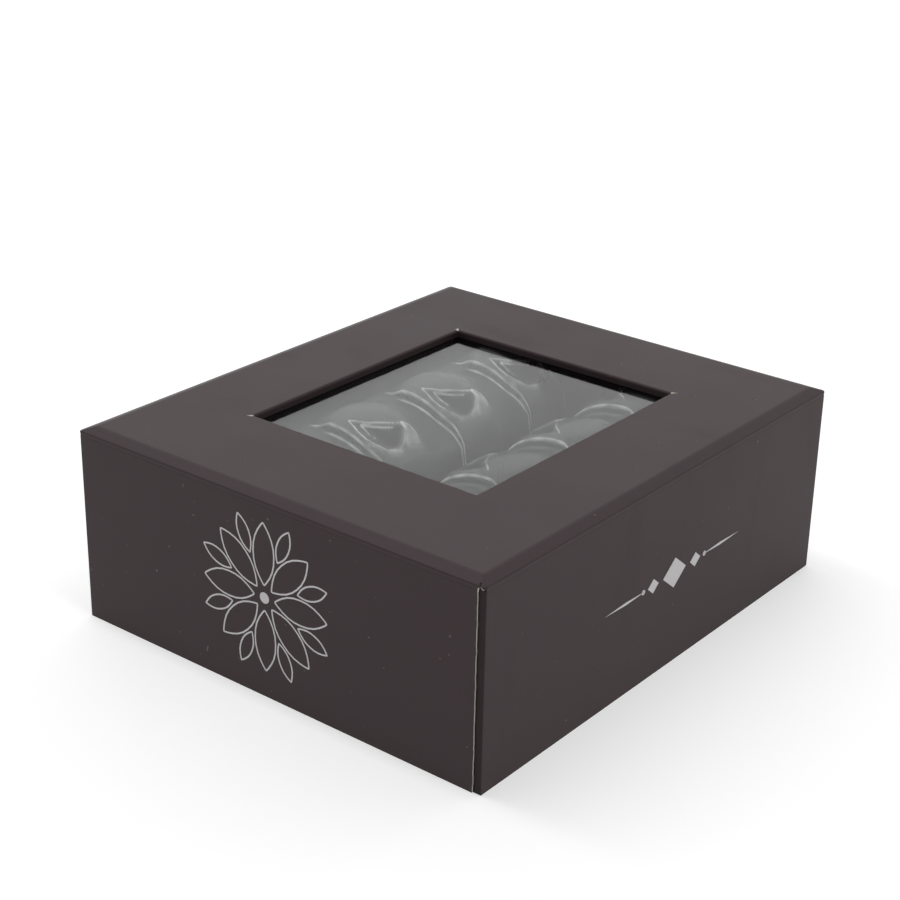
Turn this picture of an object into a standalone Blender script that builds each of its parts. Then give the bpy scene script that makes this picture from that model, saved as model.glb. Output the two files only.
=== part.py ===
"""Shut macaron box: a board cover with a film window, a clear moulded tray under it and a base board."""

import math

import bmesh
import bpy
from mathutils import Vector

# Driving dimensions in metres. The box stands on z = 0, centred on the origin: the front corner of
# the photograph is at -X -Y, the long side runs along X.
BOX_X = 0.150
BOX_Y = 0.130
BOX_Z = 0.054
BOARD = 0.00175
CORNER_ROUND = 0.0008
GAP = 0.0003

# Folded edge round the top: a gently sloping band that turns over into the walls.
FOLD_IN = 0.0031
FOLD_SLOPE = math.radians(21.5)
FOLD_ROUND = 0.0005
FOLD_STEPS = 3
FOLD_CORNER = 0.0003
FOLD_BAND = FOLD_IN - FOLD_ROUND * (1 - math.sin(FOLD_SLOPE))
FOLD_DOWN = FOLD_ROUND * math.cos(FOLD_SLOPE) + FOLD_BAND * math.tan(FOLD_SLOPE)

# Corner strips: the -X and +X panels stop short of the corners and show the tabs under them.
STRIP_WIDE = 0.0025
STRIP_DEEP = 0.0004

# Window, as the lowest and highest corner of its opening on the top face.
WINDOW_LOW = Vector((-0.0408, -0.0357))
WINDOW_HIGH = Vector((0.0431, 0.0367))
WINDOW_ROUND = 0.0006
WINDOW_EASE = 0.0005
FILM_THICK = 0.0003
FILM_MARGIN = 0.007

# Tray: depths are measured down from the top face of the box.
TRAY_THICK = 0.0006
TRAY_GAP = 0.0006
TRAY_DRAFT = 0.0010
PLATEAU_DEEP = 0.0058
TRAY_SHIFT = Vector((0.0, -0.0021))
LOBES = 4
LOBE_PITCH = 0.030
LOBE_HALF = 0.0091
LOBE_SIDE = 0.0014
LOBE_TOP_DEEP = 0.0032
LOBE_CROWN = 0.0008
LOBE_RADIUS = 0.022
LOBE_END = 0.013
ROW_OFFSET = 0.0265
GROOVE_TOP_DEEP = 0.0069
GROOVE_RADIUS = 0.025
FLANK_START = 0.0188
FLANK_END = 0.0215
CHANNEL_DEEP = 0.030
ARCH_LIMIT = 0.98

# Outer end of a lobe and its grooves, as distances outside the lobe's top line.
END_START = 0.003
END_BLEND = 0.004
END_EASE = 0.55
GROOVE_RISE = 0.009

# Thumb pocket in each lobe: a teardrop whose point is towards the outer front of its lobe.
POCKET_POINT = Vector((-0.0063, 0.0034))
POCKET_POINT_ROUND = 0.0005
POCKET_BOWL = Vector((-0.0008, 0.0102))
POCKET_BOWL_ROUND = 0.0056
POCKET_EDGE = 0.0012
POCKET_FLOOR = 0.0050
POCKET_FALL = 0.27
LIP_HIGH = 0.0016
LIP_WIDE = 0.0038
LIP_PEAK = 0.4
LIP_START = 0.008
LIP_FULL = 0.012

# Grid lines across one lobe, and from the middle of the channel out to the plateau.
LOBE_LINES = (-0.0150, -0.0102, -0.0086, -0.0052, -0.0020, 0.0012, 0.0046, 0.0086, 0.0102)
ROW_LINES = (0.0214, 0.0190, 0.0168, 0.0143, 0.0116, 0.0088, 0.0060, 0.0032, 0.0, -0.0040, -0.0080, -0.0130)

BROWN = (0.064, 0.046, 0.048, 1.0)
GREY_BROWN = (0.110, 0.096, 0.090, 1.0)
CLEAR_GREY = (0.42, 0.44, 0.43, 1.0)
FILM_GREY = (0.60, 0.62, 0.64, 1.0)


def clear_scene():
    for item in list(bpy.data.objects):
        bpy.data.objects.remove(item, do_unlink=True)


def make_material(name, colour, roughness, metallic=0.0):
    material = bpy.data.materials.new(name)
    material.use_nodes = True
    shader = material.node_tree.nodes["Principled BSDF"]
    shader.inputs["Base Color"].default_value = colour
    shader.inputs["Roughness"].default_value = roughness
    shader.inputs["Metallic"].default_value = metallic
    return material


def add_object(name, mesh_builder, material=None):
    mesh = bpy.data.meshes.new(name)
    mesh_builder.to_mesh(mesh)
    mesh_builder.free()
    item = bpy.data.objects.new(name, mesh)
    bpy.context.scene.collection.objects.link(item)
    if material is not None:
        mesh.materials.append(material)
    return item


def add_cutter(name, mesh_builder, target):
    """Cuts one shape out of the target, and keeps it in the file as a wire guide."""
    cutter = add_object(name, mesh_builder)
    cutter.hide_render = True
    cutter.display_type = "WIRE"
    cut = target.modifiers.new(name, "BOOLEAN")
    cut.operation = "DIFFERENCE"
    cut.solver = "EXACT"
    cut.object = cutter
    return cutter


def box_mesh(low, high, builder=None):
    """A box between two corners, in a new mesh or added to one."""
    builder = builder or bmesh.new()
    made = bmesh.ops.create_cube(builder, size=1.0)["verts"]
    low, high = Vector(low), Vector(high)
    bmesh.ops.scale(builder, vec=high - low, verts=made)
    bmesh.ops.translate(builder, vec=(low + high) / 2, verts=made)
    return builder


def upright_edges(builder):
    return [e for e in builder.edges if (e.verts[0].co.xy - e.verts[1].co.xy).length < GAP]


def rounded_rectangle(low, high, radius, steps=4):
    """Points round a rectangle with rounded corners, counter-clockwise from the +X side."""
    points = []
    middles = ((high.x - radius, high.y - radius), (low.x + radius, high.y - radius),
               (low.x + radius, low.y + radius), (high.x - radius, low.y + radius))
    for quarter, (x, y) in enumerate(middles):
        for step in range(steps + 1):
            turn = (quarter + step / steps) * math.pi / 2
            points.append((x + radius * math.cos(turn), y + radius * math.sin(turn)))
    return points


def stacked_loops(sections):
    """A closed solid through level loops, each given as (z, points), lowest first."""
    builder = bmesh.new()
    loops = [[builder.verts.new((x, y, z)) for x, y in points] for z, points in sections]
    for lower, upper in zip(loops, loops[1:]):
        for i in range(len(lower)):
            j = (i + 1) % len(lower)
            builder.faces.new((lower[i], lower[j], upper[j], upper[i]))
    builder.faces.new(list(reversed(loops[0])))
    builder.faces.new(loops[-1])
    return builder


def build_cover(material):
    """The printed cover: top with its window, and four walls down to the base."""
    half = Vector((BOX_X / 2, BOX_Y / 2))
    profile = [(0.0, 0.0)]
    for step in range(FOLD_STEPS + 1):
        turn = step / FOLD_STEPS * (math.pi / 2 - FOLD_SLOPE)
        inset = FOLD_ROUND * (1 - math.cos(turn))
        profile.append((inset, BOX_Z - FOLD_DOWN + FOLD_ROUND * math.sin(turn)))
    profile.append((FOLD_IN, BOX_Z))
    sections = []
    for inset, z in profile:
        corner = half - Vector((inset, inset))
        sections.append((z, rounded_rectangle(-corner, corner, max(FOLD_CORNER, CORNER_ROUND - inset))))
    cover = add_object("cover", stacked_loops(sections), material)

    inner = half - Vector((BOARD, BOARD))
    cavity = box_mesh((-inner.x, -inner.y, -BOARD), (inner.x, inner.y, BOX_Z - BOARD))
    add_cutter("cavity_cutter", cavity, cover)

    ease = Vector((WINDOW_EASE, WINDOW_EASE))
    straight = rounded_rectangle(WINDOW_LOW, WINDOW_HIGH, WINDOW_ROUND)
    eased = rounded_rectangle(WINDOW_LOW - ease, WINDOW_HIGH + ease, WINDOW_ROUND + WINDOW_EASE)
    window = stacked_loops(((BOX_Z - 2 * BOARD, straight), (BOX_Z - WINDOW_EASE, straight),
                            (BOX_Z, eased), (BOX_Z + BOARD, eased)))
    add_cutter("window_cutter", window, cover)

    strips = bmesh.new()
    for side_x in (-1, 1):
        for side_y in (-1, 1):
            xs = sorted((side_x * (half.x - STRIP_DEEP), side_x * (half.x + BOARD)))
            ys = sorted((side_y * (half.y - STRIP_WIDE), side_y * (half.y + BOARD)))
            box_mesh((xs[0], ys[0], -BOARD), (xs[1], ys[1], BOX_Z - FOLD_DOWN), strips)
    add_cutter("strip_cutter", strips, cover)
    return cover


def build_base(material):
    """The board that closes the cover from below and carries the tray."""
    room = BOARD + GAP
    board = box_mesh((room - BOX_X / 2, room - BOX_Y / 2, 0.0), (BOX_X / 2 - room, BOX_Y / 2 - room, BOARD))
    bmesh.ops.bevel(board, geom=upright_edges(board), offset=CORNER_ROUND, segments=2, profile=0.5,
                    affect="EDGES", clamp_overlap=True)
    return add_object("base_board", board, material)


def build_film(material):
    """The clear film glued under the window."""
    margin = Vector((FILM_MARGIN, FILM_MARGIN))
    outline = rounded_rectangle(WINDOW_LOW - margin, WINDOW_HIGH + margin, WINDOW_ROUND)
    top = BOX_Z - BOARD - GAP
    film = stacked_loops(((top - FILM_THICK, outline), (top, outline)))
    return add_object("window_film", film, material)


def smooth_step(value, low, high):
    s = min(1.0, max(0.0, (value - low) / (high - low)))
    return s * s * (3 - 2 * s)


def arch_drop(t, radius):
    """How far a round arch has fallen at the distance t from its top line."""
    reach = min(abs(t), ARCH_LIMIT * radius)
    return radius - math.sqrt(radius * radius - reach * reach)


def pocket_distance(u, t):
    """Signed distance to the teardrop outline of a pocket, negative inside."""
    axis = POCKET_BOWL - POCKET_POINT
    length = axis.length
    along = axis / length
    offset = Vector((u, t)) - POCKET_POINT
    s = offset.dot(along)
    across = abs(offset.x * along.y - offset.y * along.x)
    slope = (POCKET_BOWL_ROUND - POCKET_POINT_ROUND) / length
    cosine = math.sqrt(1 - slope * slope)
    reach = min(length, max(0.0, s + across * slope / cosine))
    nearest = math.hypot(s - reach, across)
    return nearest - (POCKET_POINT_ROUND + slope * reach)


def tray_depth(x, y):
    """Depth of the tray's upper face below the top of the box."""
    local_x = x - TRAY_SHIFT.x
    local_y = y - TRAY_SHIFT.y
    lobe = min(LOBES - 1, max(0, math.floor(local_x / LOBE_PITCH + LOBES / 2)))
    u = local_x - (lobe + 0.5 - LOBES / 2) * LOBE_PITCH
    t = ROW_OFFSET - abs(local_y)

    top = LOBE_TOP_DEEP + LOBE_CROWN * (u / LOBE_HALF) ** 2
    top += arch_drop(max(t, 0.0), LOBE_RADIUS)
    inside = pocket_distance(u, t)
    floor = POCKET_FLOOR + POCKET_FALL * t
    pocket = 1 - smooth_step(inside, -POCKET_EDGE, 0.0)
    lip = max(0.0, 1 - abs(inside / LIP_WIDE - LIP_PEAK) / (1 - LIP_PEAK))
    lip *= smooth_step(t, LIP_START, LIP_FULL)
    top = top * (1 - pocket) + max(top, floor) * pocket - LIP_HIGH * lip * (1 - pocket)

    groove = GROOVE_TOP_DEEP + arch_drop(max(t, 0.0), GROOVE_RADIUS)
    groove += (PLATEAU_DEEP - GROOVE_TOP_DEEP) * smooth_step(-t, 0.0, GROOVE_RISE)

    beyond = max(0.0, -t - END_START) / (LOBE_END - END_START)
    outer = math.hypot(u / (LOBE_HALF + LOBE_SIDE), beyond)
    top += (PLATEAU_DEEP - top) * smooth_step(outer, END_EASE, 1.0) * smooth_step(-t, 0.0, END_BLEND)
    side = smooth_step(abs(u), LOBE_HALF - LOBE_SIDE / 2, LOBE_HALF + LOBE_SIDE)
    depth = min(top, groove) * (1 - side) + groove * side
    return depth + (CHANNEL_DEEP - depth) * smooth_step(t, FLANK_START, FLANK_END)


def build_tray(material):
    """The clear tray: two rows of arched lobes, their plateau and a skirt down to the base board."""
    border = Vector((BOX_X / 2, BOX_Y / 2)) - Vector((BOARD + TRAY_GAP + TRAY_DRAFT,) * 2)
    xs = [-border.x]
    for lobe in range(LOBES):
        middle = (lobe + 0.5 - LOBES / 2) * LOBE_PITCH + TRAY_SHIFT.x
        xs += [middle + u for u in LOBE_LINES]
    xs += [LOBES / 2 * LOBE_PITCH + TRAY_SHIFT.x, border.x]
    front = [TRAY_SHIFT.y - (ROW_OFFSET - t) for t in ROW_LINES]
    back = [TRAY_SHIFT.y + (ROW_OFFSET - t) for t in ROW_LINES]
    ys = sorted([-border.y, border.y] + front + back)

    builder = bmesh.new()
    grid = [[builder.verts.new((x, y, BOX_Z - tray_depth(x, y))) for x in xs] for y in ys]
    for row, above in zip(grid, grid[1:]):
        for i in range(len(xs) - 1):
            builder.faces.new((row[i], row[i + 1], above[i + 1], above[i]))
    rim = [e for e in builder.edges if e.is_boundary]
    skirt = bmesh.ops.extrude_edge_only(builder, edges=rim)["geom"]
    foot = BOARD + GAP
    for vert in (v for v in skirt if isinstance(v, bmesh.types.BMVert)):
        for axis in (0, 1):
            if abs(vert.co[axis]) > border[axis] - GAP:
                vert.co[axis] += math.copysign(TRAY_DRAFT, vert.co[axis])
        vert.co.z = foot
    bmesh.ops.recalc_face_normals(builder, faces=builder.faces)
    tray = add_object("tray", builder, material)
    wall = tray.modifiers.new("sheet", "SOLIDIFY")
    wall.thickness = TRAY_THICK
    wall.offset = -1.0
    wall.use_even_offset = False
    return tray


def main():
    clear_scene()
    build_cover(make_material("laminated_board", BROWN, 0.45))
    build_base(make_material("base_paper", GREY_BROWN, 0.8))
    build_film(make_material("window_film", FILM_GREY, 0.05))
    build_tray(make_material("clear_tray", CLEAR_GREY, 0.12))


main()
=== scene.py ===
"""Looks of a shut macaron box: printed board cover, film window, clear tray, base board and studio."""

import math

import bpy
import numpy as np
from mathutils import Matrix, Vector, noise


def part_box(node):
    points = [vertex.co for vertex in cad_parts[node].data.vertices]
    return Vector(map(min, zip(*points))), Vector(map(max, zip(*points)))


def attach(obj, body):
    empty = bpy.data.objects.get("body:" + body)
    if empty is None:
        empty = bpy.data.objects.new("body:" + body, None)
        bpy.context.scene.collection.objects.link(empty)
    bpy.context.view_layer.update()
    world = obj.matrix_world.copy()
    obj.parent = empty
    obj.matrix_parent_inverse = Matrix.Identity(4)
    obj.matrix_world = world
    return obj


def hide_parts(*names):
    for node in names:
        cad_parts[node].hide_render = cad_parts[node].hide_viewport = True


bl_info = {
    "name": "Macaron Box",
    "version": (1, 0, 0),
    "blender": (4, 5, 0),
    "location": "3D View > Sidebar > Macaron Box",
    "description": "Builds the looks of a shut macaron box with a film window round its packed solids",
    "category": "Object",
}

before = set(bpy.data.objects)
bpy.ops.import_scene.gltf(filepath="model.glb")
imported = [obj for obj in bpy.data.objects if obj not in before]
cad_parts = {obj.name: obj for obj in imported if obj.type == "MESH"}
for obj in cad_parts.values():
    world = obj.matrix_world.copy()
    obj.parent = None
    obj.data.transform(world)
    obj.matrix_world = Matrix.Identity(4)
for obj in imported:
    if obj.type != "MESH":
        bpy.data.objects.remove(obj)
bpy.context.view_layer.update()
COVER_LOW, COVER_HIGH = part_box("cover")
BASE_LOW, BASE_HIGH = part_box("base_board")
FILM_LOW, FILM_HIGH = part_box("window_film")
TRAY_LOW, TRAY_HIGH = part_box("tray")
BODY = "root"
MM = 0.001
SEED = Vector((3.1, 7.7, 1.9))
# How far a face or corner may lie from the place where it is looked for.
SLACK = 0.1 * MM
# Gap between the film and the board above it, and thickness of the printed ornaments.
FILM_GAP = 0.03 * MM
PRINT_THICK = 0.03 * MM
# Radii and height of the three-cornered slits at the window's corners, and how far outside they lie each way.
SLIT = (1.6 * MM, 0.7 * MM, 0.3 * MM)
SLIT_OUT = 0.55 * MM
# Size, lean and place from the front corner of the dark slit in the fold, where the paper gapes.
MITRE = (1.2 * MM, 0.35 * MM, 2.4 * MM)
MITRE_LEAN = math.radians(-52)
MITRE_IN = (0.5 * MM, 1.2 * MM)
# Height up to which the cut paper beside the tabs is pale.
PALE_EDGE_TOP = 51.5 * MM
# Corners of a thumb pocket in millimetres: across its lobe, and down from the lobe's top line.
POCKET = ((-6.0, 2.4), (-2.5, 6.4), (2.7, 9.0), (6.3, 10.2), (5.4, 12.2), (2.1, 14.8), (-1.3, 16.0),
          (-4.5, 15.2), (-6.9, 12.6), (-7.8, 10.0), (-7.6, 7.0))
# Corners of a pocket's floor, in the same way.
POCKET_FLOOR = ((-4.5, 5.3), (-3.6, 6.4), (-2.2, 7.6), (0.2, 9.1), (2.9, 10.3), (5.1, 11.0), (4.4, 12.0),
                (1.6, 13.8), (-1.2, 14.6), (-3.5, 12.2), (-4.6, 10.3), (-4.9, 8.4))
# Corners of the facet between a pocket's far end and the wall of its lobe, which carries a painted highlight,
# in the same way.
HIGHLIGHT_FACET = ((6.6, 9.6), (8.2, 11.5), (8.2, 14.6), (6.8, 18.0), (0.5, 16.8), (3.0, 14.4), (5.6, 12.2))
# Share of a pocket's depth that is moulded, and its floor: depth at the top line, falls along and across.
POCKET_SHARE = 0.45
FLOOR_START, FLOOR_ALONG, FLOOR_ACROSS = 2.5 * MM, 0.465, 0.144
# How far outside a pocket's rim its raised lip lies, how wide it is each way, its height and its unevenness.
LIP_OUT, LIP_WIDE, LIP_HIGH, LIP_UNEVEN = 0.6 * MM, 1.5 * MM, 0.65, 0.3
# How much a lobe narrows each side towards the channel, flares at its outer end and falls at its sides.
TAPER, FLARE, CROWN = 1.5 * MM, 0.025, 0.8 * MM
# How far a lobe reaches outwards from its top line, and where the channel's wall starts and ends.
LOBE_REACH, FLANK_START, FLANK_END = 8.2 * MM, 18.8 * MM, 21.5 * MM
# Width and softness of a lobe's side wall, and half the width of a painted highlight line along a crease.
WALL_WIDE, WALL_SOFT, HIGHLIGHT_HALF = 0.9 * MM, 0.3 * MM, 0.19 * MM
# Course of the curled scrap in millimetres: in from the panel, in from the corner, and up from the fold.
CURL = ((0.0, 2.2, -1.2), (0.0, 2.1, -0.4), (0.05, 1.9, 0.0), (0.15, 1.3, -0.1), (0.1, 0.9, -0.35),
        (0.05, 0.5, -0.1), (0.3, 0.35, 0.2))
CURL_IN = 0.08
# Stretches of the tray's grid in millimetres: how far each reaches from a lobe's middle, and its step.
LOBE_STRETCHES = ((-11.1, 0.95), (-8.1, 0.25), (8.1, 0.40), (11.1, 0.25))
# The same down from the top line of the near and the far row, in the order of rising Y.
NEAR_STRETCHES = ((-9, 1.8), (-3, 0.8), (16.5, 0.42), (21.5, 0.7))
FAR_STRETCHES = ((21.5, 2.0), (16.5, 0.7), (-3, 0.40), (-9, 0.7))
# Step of the grid where the cover hides the tray.
HIDDEN_STEP = 2.0 * MM


def length(name, description, default):
    """A size in metres that a user may change."""
    return bpy.props.FloatProperty(name=name, description=description, default=default, min=0.0,
                                   precision=5, unit="LENGTH")


def place(name, description, default):
    """A point or offset in metres that a user may change."""
    return bpy.props.FloatVectorProperty(name=name, description=description, default=default,
                                         size=len(default), precision=5, subtype="XYZ", unit="LENGTH")


def tint(name, description, default):
    """A linear colour that a user may change."""
    return bpy.props.FloatVectorProperty(name=name, description=description, default=default, size=3,
                                         min=0.0, max=1.0, subtype="COLOR")


def share(name, description, default):
    """A number from 0 to 1 that a user may change."""
    return bpy.props.FloatProperty(name=name, description=description, default=default, min=0.0,
                                   max=1.0, subtype="FACTOR")


def angle(name, description, default):
    """An angle, given in degrees, that a user may change."""
    return bpy.props.FloatProperty(name=name, description=description, default=math.radians(default),
                                   subtype="ANGLE", unit="ROTATION")


class CartonSizes(bpy.types.PropertyGroup):
    """Sizes of the cover and its window."""

    board: length("Board", "Thickness of the cover's walls and top", 0.00175)
    fold_in: length("Fold", "Width of the sloping band round the top", 0.0031)
    fold_slope: angle("Fold Slope", "How steeply the band round the top falls", 21.5)
    fold_round: length("Fold Round", "Rounding where the band turns over into a wall", 0.0005)
    fold_soft: length("Fold Softness", "Half the width of the soft bend at the band's inner line", 0.0006)
    crease: length("Crease", "Depth of the pressed line under the fold", 0.00007)
    crease_wide: length("Crease Width", "Width of the pressed line under the fold", 0.0012)
    corner: length("Corner", "Rounding of the upright corners", 0.0007)
    rim: length("Rim", "Rounding of the window's upper edge", 0.0007)
    window_low: place("Window Low", "Lowest corner of the window", (-0.0408, -0.0357))
    window_high: place("Window High", "Highest corner of the window", (0.0431, 0.0367))
    strip: length("Tab", "Width of the tab beside the front and the back corner", 0.0022)
    strip_far: length("Side Tab", "Width of the tab beside the left and the right corner", 0.0006)
    strip_deep: length("Tab Depth", "Thickness of the paper that ends beside the tab", 0.0004)
    frayed: length("Frayed Edge", "Width of the torn paper along the tab", 0.00017)


class TraySizes(bpy.types.PropertyGroup):
    """Sizes of the moulded tray, with depths measured down from the top of the box."""

    wall: length("Wall", "Thickness of the clear sheet", 0.0004)
    plateau: length("Plateau", "Depth of the flat border", 0.0058)
    shift: place("Shift", "How far the tray's pattern lies from the middle of the box", (0.0, -0.0021))
    pitch: length("Pitch", "Distance from one lobe to the next", 0.030)
    lobe_half: length("Lobe Half", "Half the width of a lobe", 0.0096)
    lobe_top: length("Lobe Top", "Depth of a lobe's highest line", 0.0032)
    lobe_radius: length("Lobe Radius", "Radius of a lobe's arch", 0.022)
    row_offset: length("Row Offset", "Distance from the middle to the top of a row's arch", 0.0265)
    groove_top: length("Groove Top", "Depth of the highest line of a groove", 0.0069)
    groove_radius: length("Groove Radius", "Radius of a groove's arch", 0.025)
    channel: length("Channel", "Depth of the middle channel", 0.030)
    haze: share("Haze", "Milkiness of the border and the grooves", 0.05)
    near_shift: length("Near Row", "How much nearer to the channel the front row lies", 0.002)
    body: share("Body", "Share of the light that the sheet holds back where it isn't milky", 0.35)
    # Lobes milkier than the border and the grooves: painted light on the lobes and painted shade in the
    # grooves.
    lobe_haze_and_light: share("Lobe Haze", "Milkiness of the lobes", 0.08)
    # Strength of the painted highlight on the lips and facets below the pockets.
    facet_highlight_strength: share("Splash Haze", "Added milkiness of a pocket's lower rim", 0.22)
    # Strength of the painted highlight lines along the creases.
    crease_painted_highlight: share("Fold Haze", "Added whiteness of the creases drawn in moulding", 0.80)


class BoxFinishes(bpy.types.PropertyGroup):
    """Colours of the finishes."""

    brown: tint("Brown", "Printed and matt laminated paper", (0.0325, 0.0205, 0.0228))
    raw: tint("Raw Board", "Cut edge of the white-lined board", (0.62, 0.60, 0.53))
    inside: tint("Inside", "Dark inner face of the board", (0.030, 0.026, 0.026))
    print_grey: tint("Print", "Light grey of the printed ornaments", (0.62, 0.60, 0.61))
    # This milky colour also shows the tray's painted highlights and painted light.
    plastic: tint("Plastic", "Milky haze of the clear tray", (0.82, 0.85, 0.83))


class BoxStudio(bpy.types.PropertyGroup):
    """Camera, light and floor."""

    lens: bpy.props.FloatProperty(name="Lens", description="Focal length of the camera", default=76.15)
    spot: place("Camera", "Where the camera stands", (-0.36287, -0.28159, 0.24420))
    heading: angle("Heading", "How far the view turns from +Y towards +X", 51.73)
    pitch: angle("Pitch", "How far down the camera looks", 23.84)
    roll: angle("Roll", "How far the camera leans over", 1.16)
    sky_back: bpy.props.FloatProperty(name="Bright Sky", default=1.4, min=0.0,
                                      description="Brightness of the surroundings behind the box")
    sky_high: share("High Sky", "Share of that brightness that is left high up", 0.45)
    sky_front: share("Dim Sky", "Brightness of the surroundings behind the camera", 0.20)
    floor: tint("Floor", "Pale floor", (0.70, 0.70, 0.70))
    glow_near: share("Near Glow", "Light of the lit floor beside the box", 0.42)
    glow_far: share("Far Glow", "Light of the lit floor far from the box", 0.72)
    key: bpy.props.FloatProperty(name="Key", description="Power of the long overhead softbox",
                                 default=10.0)


class Wire:
    """An output socket of a finish that takes part in Python sums."""

    def __init__(self, finish, socket):
        self.finish = finish
        self.socket = socket

    def sum(self, operation, first, second):
        return self.finish.node("ShaderNodeMath", {"operation": operation}, {0: first, 1: second})

    def __add__(self, other):
        return self.sum("ADD", self, other)

    def __radd__(self, other):
        return self.sum("ADD", other, self)

    def __mul__(self, other):
        return self.sum("MULTIPLY", self, other)

    def __rmul__(self, other):
        return self.sum("MULTIPLY", other, self)

    def __pow__(self, other):
        return self.sum("POWER", self, other)


class Finish:
    """A material under construction, whose patterns read Object coordinates."""

    def __init__(self, name):
        self.material = bpy.data.materials.new(name)
        self.material.use_nodes = True
        self.tree = self.material.node_tree
        self.tree.nodes.clear()
        self.place = self.node("ShaderNodeTexCoord", out="Object")

    def node(self, kind, settings=None, values=None, out=0):
        """Adds a node, sets its settings and then its sockets, and returns one of its outputs."""
        made = self.tree.nodes.new(kind)
        for key, setting in (settings or {}).items():
            if key == "stops":
                while len(made.color_ramp.elements) < len(setting):
                    made.color_ramp.elements.new(1.0)
                for element, (position, grey) in zip(made.color_ramp.elements, setting):
                    element.position = position
                    element.color = (grey, grey, grey, 1.0)
            else:
                setattr(made, key, setting)
        for key, value in (values or {}).items():
            socket = made.inputs[key]
            if isinstance(value, Wire):
                self.tree.links.new(value.socket, socket)
            elif socket.type == "RGBA":
                socket.default_value = (*value, 1.0)
            else:
                socket.default_value = value
        return Wire(self, made.outputs[out])

    def noise(self, scale, detail=2.0, roughness=0.5, stretch=None):
        """Soft noise between 0 and 1, with its scale in spots per metre."""
        at = self.place
        if stretch:
            at = self.node("ShaderNodeMapping", {}, {"Vector": at, "Scale": stretch}, "Vector")
        return self.node("ShaderNodeTexNoise", {}, {"Vector": at, "Scale": scale, "Detail": detail,
                                                    "Roughness": roughness}, "Fac")

    def ramp(self, value, *stops):
        """Maps a value through grey stops."""
        return self.node("ShaderNodeValToRGB", {"stops": stops}, {"Fac": value}, "Color")

    def blend(self, factor, first, second):
        """Mixes two colours."""
        return self.node("ShaderNodeMix", {"data_type": "RGBA"}, {0: factor, 6: first, 7: second}, 2)

    def bump(self, height, distance, strength=1.0):
        """A normal tilted by a height pattern, whose distance is in metres."""
        return self.node("ShaderNodeBump", {}, {"Height": height, "Distance": distance,
                                                "Strength": strength}, "Normal")

    def shader(self, **values):
        """A Principled shader whose sockets are named in plain words with underscores."""
        return self.node("ShaderNodeBsdfPrincipled", {},
                         {key.replace("_", " "): value for key, value in values.items()}, "BSDF")

    def done(self, shader):
        """Ends the finish with its shader and returns the material."""
        output = self.tree.nodes.new("ShaderNodeOutputMaterial")
        self.tree.links.new(shader.socket, output.inputs["Surface"])
        return self.material


def printed_paper(colours, name="printed_paper", shade=1.0):
    """Brown print under a matt film: soft mottling, fine grain, rub marks and dust. A shade below 1 darkens
    the colour and the sheen of a copy, as painted shade.
    """
    finish = Finish(name)
    cloud = finish.noise(38.0, 3.0)
    grain = finish.noise(2600.0, 2.0, 0.6)
    rub = finish.ramp(finish.noise(70.0, 4.0, 0.65, (1.0, 0.35, 0.35)), (0.56, 0.0), (0.78, 1.0))
    dust = finish.ramp(finish.noise(820.0, 0.0), (0.86, 0.0), (0.89, 1.0))
    brown = tuple(c * shade for c in colours.brown)
    base = finish.blend(cloud, brown, tuple(c * 1.14 for c in brown))
    base = finish.blend(grain * 0.18, base, tuple(c * 1.7 for c in brown))
    base = finish.blend(dust * 0.22, base, (0.35, 0.34, 0.33))
    height = grain * 0.35 + finish.noise(520.0, 3.0, 0.55)
    return finish.done(finish.shader(
        Base_Color=base, Roughness=0.50 + 0.08 * cloud + 0.05 * rub, Specular_IOR_Level=0.26 * shade,
        Specular_Tint=(1.0, 0.90, 0.93),
        Normal=finish.bump(height, 0.00004, 0.4)))


def raw_board(colours):
    """Cut board: pale fibres with darker specks."""
    finish = Finish("raw_board")
    fibre = finish.noise(1400.0, 4.0, 0.7, (1.0, 1.0, 0.15))
    speck = finish.ramp(finish.noise(2600.0, 1.0), (0.62, 0.0), (0.72, 1.0))
    base = finish.blend(fibre, tuple(c * 0.72 for c in colours.raw), colours.raw)
    base = finish.blend(speck * 0.5, base, tuple(c * 0.35 for c in colours.raw))
    return finish.done(finish.shader(Base_Color=base, Roughness=0.82 + 0.1 * fibre,
                                     Normal=finish.bump(fibre, 0.00008)))


def inner_board(colours):
    """Unprinted inner face of the board, dark and dull."""
    finish = Finish("inner_board")
    fibre = finish.noise(900.0, 4.0, 0.65)
    base = finish.blend(fibre, colours.inside, tuple(c * 1.5 for c in colours.inside))
    return finish.done(finish.shader(Base_Color=base, Roughness=0.78 + 0.1 * fibre,
                                     Normal=finish.bump(fibre, 0.00005)))


def ornament_ink(colours):
    """Light grey print with a slightly uneven cover of ink."""
    finish = Finish("ornament_ink")
    patchy = finish.noise(1900.0, 3.0, 0.6)
    base = finish.blend(patchy, tuple(c * 0.84 for c in colours.print_grey), colours.print_grey)
    return finish.done(finish.shader(Base_Color=base, Roughness=0.42 + 0.1 * patchy))


def mirror_share(finish, normal, least):
    """Share of light that a clear surface mirrors, the same from both of its sides."""
    facing = finish.node("ShaderNodeLayerWeight", {}, {"Blend": 0.5, **normal}, "Facing")
    return least + (1.0 - least) * facing ** 5.0


def clear_film():
    """Thin clear film: mirrors at its surfaces and lets the rest through."""
    finish = Finish("clear_film")
    normal = finish.bump(finish.noise(55.0, 2.0), 0.00005, 0.25)
    mirror = finish.node("ShaderNodeBsdfGlossy", {}, {"Roughness": 0.02, "Normal": normal}, "BSDF")
    clear = finish.node("ShaderNodeBsdfTransparent", {}, {"Color": (0.985, 0.99, 0.99)}, "BSDF")
    share_of = 0.65 * mirror_share(finish, {"Normal": normal}, 0.045)
    return finish.done(finish.node("ShaderNodeMixShader", {}, {0: share_of, 1: clear, 2: mirror}, "Shader"))


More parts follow.
